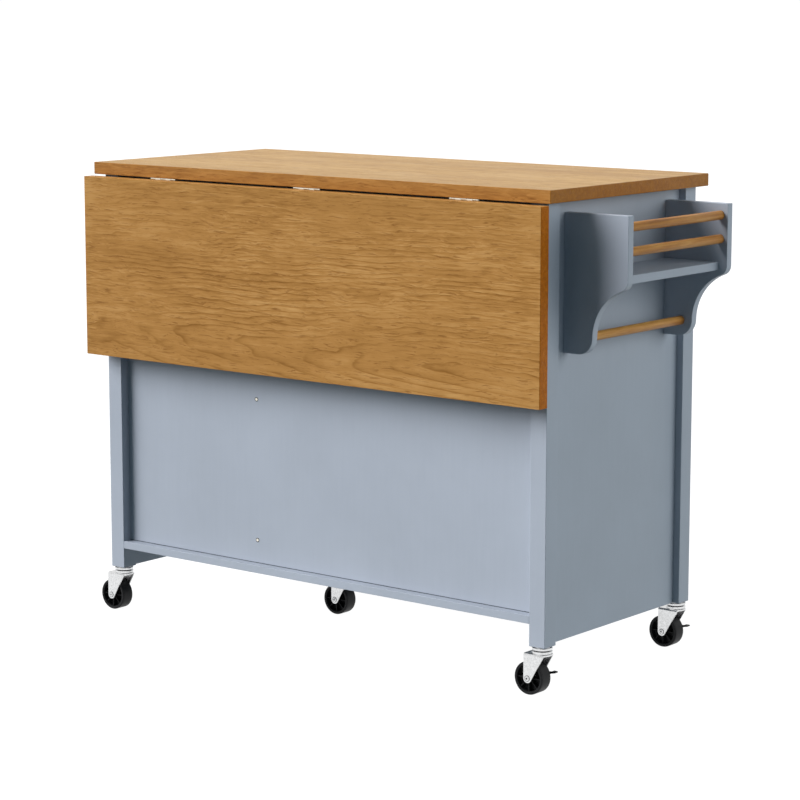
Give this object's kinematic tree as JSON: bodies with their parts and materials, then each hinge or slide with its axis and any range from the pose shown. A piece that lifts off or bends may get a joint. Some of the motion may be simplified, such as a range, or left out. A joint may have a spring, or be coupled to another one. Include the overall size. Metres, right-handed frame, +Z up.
{
  "type": "kitchen island cart",
  "caption": "Rolling kitchen island: wood worktop with a drop leaf over a painted cabinet with doors, drawers and an end rack.",
  "frame": {"origin": "on the floor, under the middle of the whole cart's bounding box with the leaf down", "axes": "+X along the worktop, away from the rack end; -Y is the front with doors and drawers, +Y the rear with the leaf; +Z up"},
  "size_m": [1.246, 0.546, 0.92],
  "materials": {
    "oak_worktop": "oiled oak, satin, grain along X",
    "oak_leaf": "oiled oak, satin, grain along X",
    "paint": "satin blue-grey paint on board",
    "birch": "clear matt lacquer on plywood",
    "dowel": "oiled dowel, satin",
    "knob_nickel": "brushed nickel plate",
    "hinge_steel": "bright zinc plate",
    "support_steel": "zinc plate",
    "zinc": "bright zinc plate, slightly rough",
    "wheel_plastic": "moulded black plastic, semi-gloss",
    "lever_plastic": "moulded black plastic, matt"
  },
  "bodies": {
    "cart": {"worktop": "oak_worktop", "post_front_left": "paint", "post_front_right": "paint", "post_rear_left": "paint", "post_rear_right": "paint", "end_panel_left": "paint", "end_panel_right": "paint", "back_panel": "paint", "bottom_board": "paint", "divider": "paint", "front_rail": "paint", "cabinet_shelf": "paint", "centre_block": "paint", "rack_bracket_front": "paint", "rack_bracket_rear": "paint", "rack_shelf": "paint", "rack_rail_upper": "dowel", "rack_rail_lower": "dowel", "towel_bar": "dowel", "leaf_hinge_fixed_left": "hinge_steel", "leaf_hinge_fixed_centre": "hinge_steel", "leaf_hinge_fixed_right": "hinge_steel", "leaf_support_base_left": "support_steel", "leaf_support_base_right": "support_steel", "caster_mount_front_left": "zinc", "caster_mount_front_right": "zinc", "caster_mount_rear_left": "zinc", "caster_mount_rear_right": "zinc", "caster_mount_centre": "zinc"},
    "leaf": {"drop_leaf": "oak_leaf", "leaf_hinge_moving_left": "hinge_steel", "leaf_hinge_moving_centre": "hinge_steel", "leaf_hinge_moving_right": "hinge_steel"},
    "strut_left": {"leaf_support_strut_left": "support_steel"},
    "strut_right": {"leaf_support_strut_right": "support_steel"},
    "door_left_body": {"door_left": "paint", "door_knob_left": "knob_nickel"},
    "door_right_body": {"door_right": "paint", "door_knob_right": "knob_nickel"},
    "drawer_bottom": {"drawer_front_bottom": "paint", "drawer_box_bottom": "birch", "drawer_knob_bottom": "knob_nickel"},
    "drawer_middle": {"drawer_front_middle": "paint", "drawer_box_middle": "birch", "drawer_knob_middle": "knob_nickel"},
    "drawer_top": {"drawer_front_top": "paint", "drawer_box_top": "birch", "drawer_knob_top": "knob_nickel"},
    "caster_front_left": {"caster_fork_front_left": "zinc"},
    "wheel_front_left": {"caster_wheel_front_left": "wheel_plastic"},
    "caster_front_right": {"caster_fork_front_right": "zinc"},
    "wheel_front_right": {"caster_wheel_front_right": "wheel_plastic"},
    "caster_rear_left": {"caster_fork_rear_left": "zinc"},
    "wheel_rear_left": {"caster_wheel_rear_left": "wheel_plastic"},
    "caster_rear_right": {"caster_fork_rear_right": "zinc"},
    "wheel_rear_right": {"caster_wheel_rear_right": "wheel_plastic"},
    "caster_centre": {"caster_fork_centre": "zinc"},
    "wheel_centre": {"caster_wheel_centre": "wheel_plastic"},
    "brake_front_left": {"brake_lever_front_left": "lever_plastic"},
    "brake_rear_left": {"brake_lever_rear_left": "lever_plastic"}
  },
  "joints": [
    {"name": "leaf_fold", "type": "hinge", "parent": "cart", "child": "leaf", "pos_m": [0.044, 0.2474, 0.8944], "axis": [1, 0, 0], "range_deg": [0, 90]},
    {"name": "strut_left_swing", "type": "hinge", "parent": "cart", "child": "strut_left", "pos_m": [-0.156, 0.225, 0.777], "axis": [1, 0, 0], "range_deg": [0, 120]},
    {"name": "strut_right_swing", "type": "hinge", "parent": "cart", "child": "strut_right", "pos_m": [0.244, 0.225, 0.777], "axis": [1, 0, 0], "range_deg": [0, 120]},
    {"name": "door_left_open", "type": "hinge", "parent": "cart", "child": "door_left_body", "pos_m": [-0.4645, -0.248, 0.507], "axis": [0, 0, -1], "range_deg": [0, 90]},
    {"name": "door_right_open", "type": "hinge", "parent": "cart", "child": "door_right_body", "pos_m": [0.198, -0.248, 0.507], "axis": [0, 0, 1], "range_deg": [0, 90]},
    {"name": "drawer_bottom_slide", "type": "slide", "parent": "cart", "child": "drawer_bottom", "axis": [0, -1, 0], "range_m": [0, 0.28]},
    {"name": "drawer_middle_slide", "type": "slide", "parent": "cart", "child": "drawer_middle", "axis": [0, -1, 0], "range_m": [0, 0.28]},
    {"name": "drawer_top_slide", "type": "slide", "parent": "cart", "child": "drawer_top", "axis": [0, -1, 0], "range_m": [0, 0.28]},
    {"name": "caster_front_left_swivel", "type": "hinge", "parent": "cart", "child": "caster_front_left", "pos_m": [-0.483, -0.2305, 0.08], "axis": [0, 0, 1], "continuous": true},
    {"name": "wheel_front_left_spin", "type": "hinge", "parent": "caster_front_left", "child": "wheel_front_left", "pos_m": [-0.462, -0.2305, 0.031], "axis": [0, 1, 0], "continuous": true},
    {"name": "caster_front_right_swivel", "type": "hinge", "parent": "cart", "child": "caster_front_right", "pos_m": [0.571, -0.2305, 0.08], "axis": [0, 0, 1], "continuous": true},
    {"name": "wheel_front_right_spin", "type": "hinge", "parent": "caster_front_right", "child": "wheel_front_right", "pos_m": [0.592, -0.2305, 0.031], "axis": [0, 1, 0], "continuous": true},
    {"name": "caster_rear_left_swivel", "type": "hinge", "parent": "cart", "child": "caster_rear_left", "pos_m": [-0.483, 0.2145, 0.08], "axis": [0, 0, 1], "continuous": true},
    {"name": "wheel_rear_left_spin", "type": "hinge", "parent": "caster_rear_left", "child": "wheel_rear_left", "pos_m": [-0.462, 0.2145, 0.031], "axis": [0, 1, 0], "continuous": true},
    {"name": "caster_rear_right_swivel", "type": "hinge", "parent": "cart", "child": "caster_rear_right", "pos_m": [0.571, 0.2145, 0.08], "axis": [0, 0, 1], "continuous": true},
    {"name": "wheel_rear_right_spin", "type": "hinge", "parent": "caster_rear_right", "child": "wheel_rear_right", "pos_m": [0.592, 0.2145, 0.031], "axis": [0, 1, 0], "continuous": true},
    {"name": "caster_centre_swivel", "type": "hinge", "parent": "cart", "child": "caster_centre", "pos_m": [0.183, -0.037, 0.08], "axis": [0, 0, 1], "continuous": true},
    {"name": "wheel_centre_spin", "type": "hinge", "parent": "caster_centre", "child": "wheel_centre", "pos_m": [0.204, -0.037, 0.031], "axis": [0, 1, 0], "continuous": true},
    {"name": "brake_front_left_press", "type": "hinge", "parent": "caster_front_left", "child": "brake_front_left", "pos_m": [-0.462, -0.2505, 0.031], "axis": [0, -1, 0], "range_deg": [0, 28]},
    {"name": "brake_rear_left_press", "type": "hinge", "parent": "caster_rear_left", "child": "brake_rear_left", "pos_m": [-0.462, 0.1945, 0.031], "axis": [0, -1, 0], "range_deg": [0, 28]}
  ],
  "couplings": [
    {"joint": "strut_left_swing", "follows": "leaf_fold", "ratio": 1.3333},
    {"joint": "strut_right_swing", "follows": "leaf_fold", "ratio": 1.3333}
  ]
}
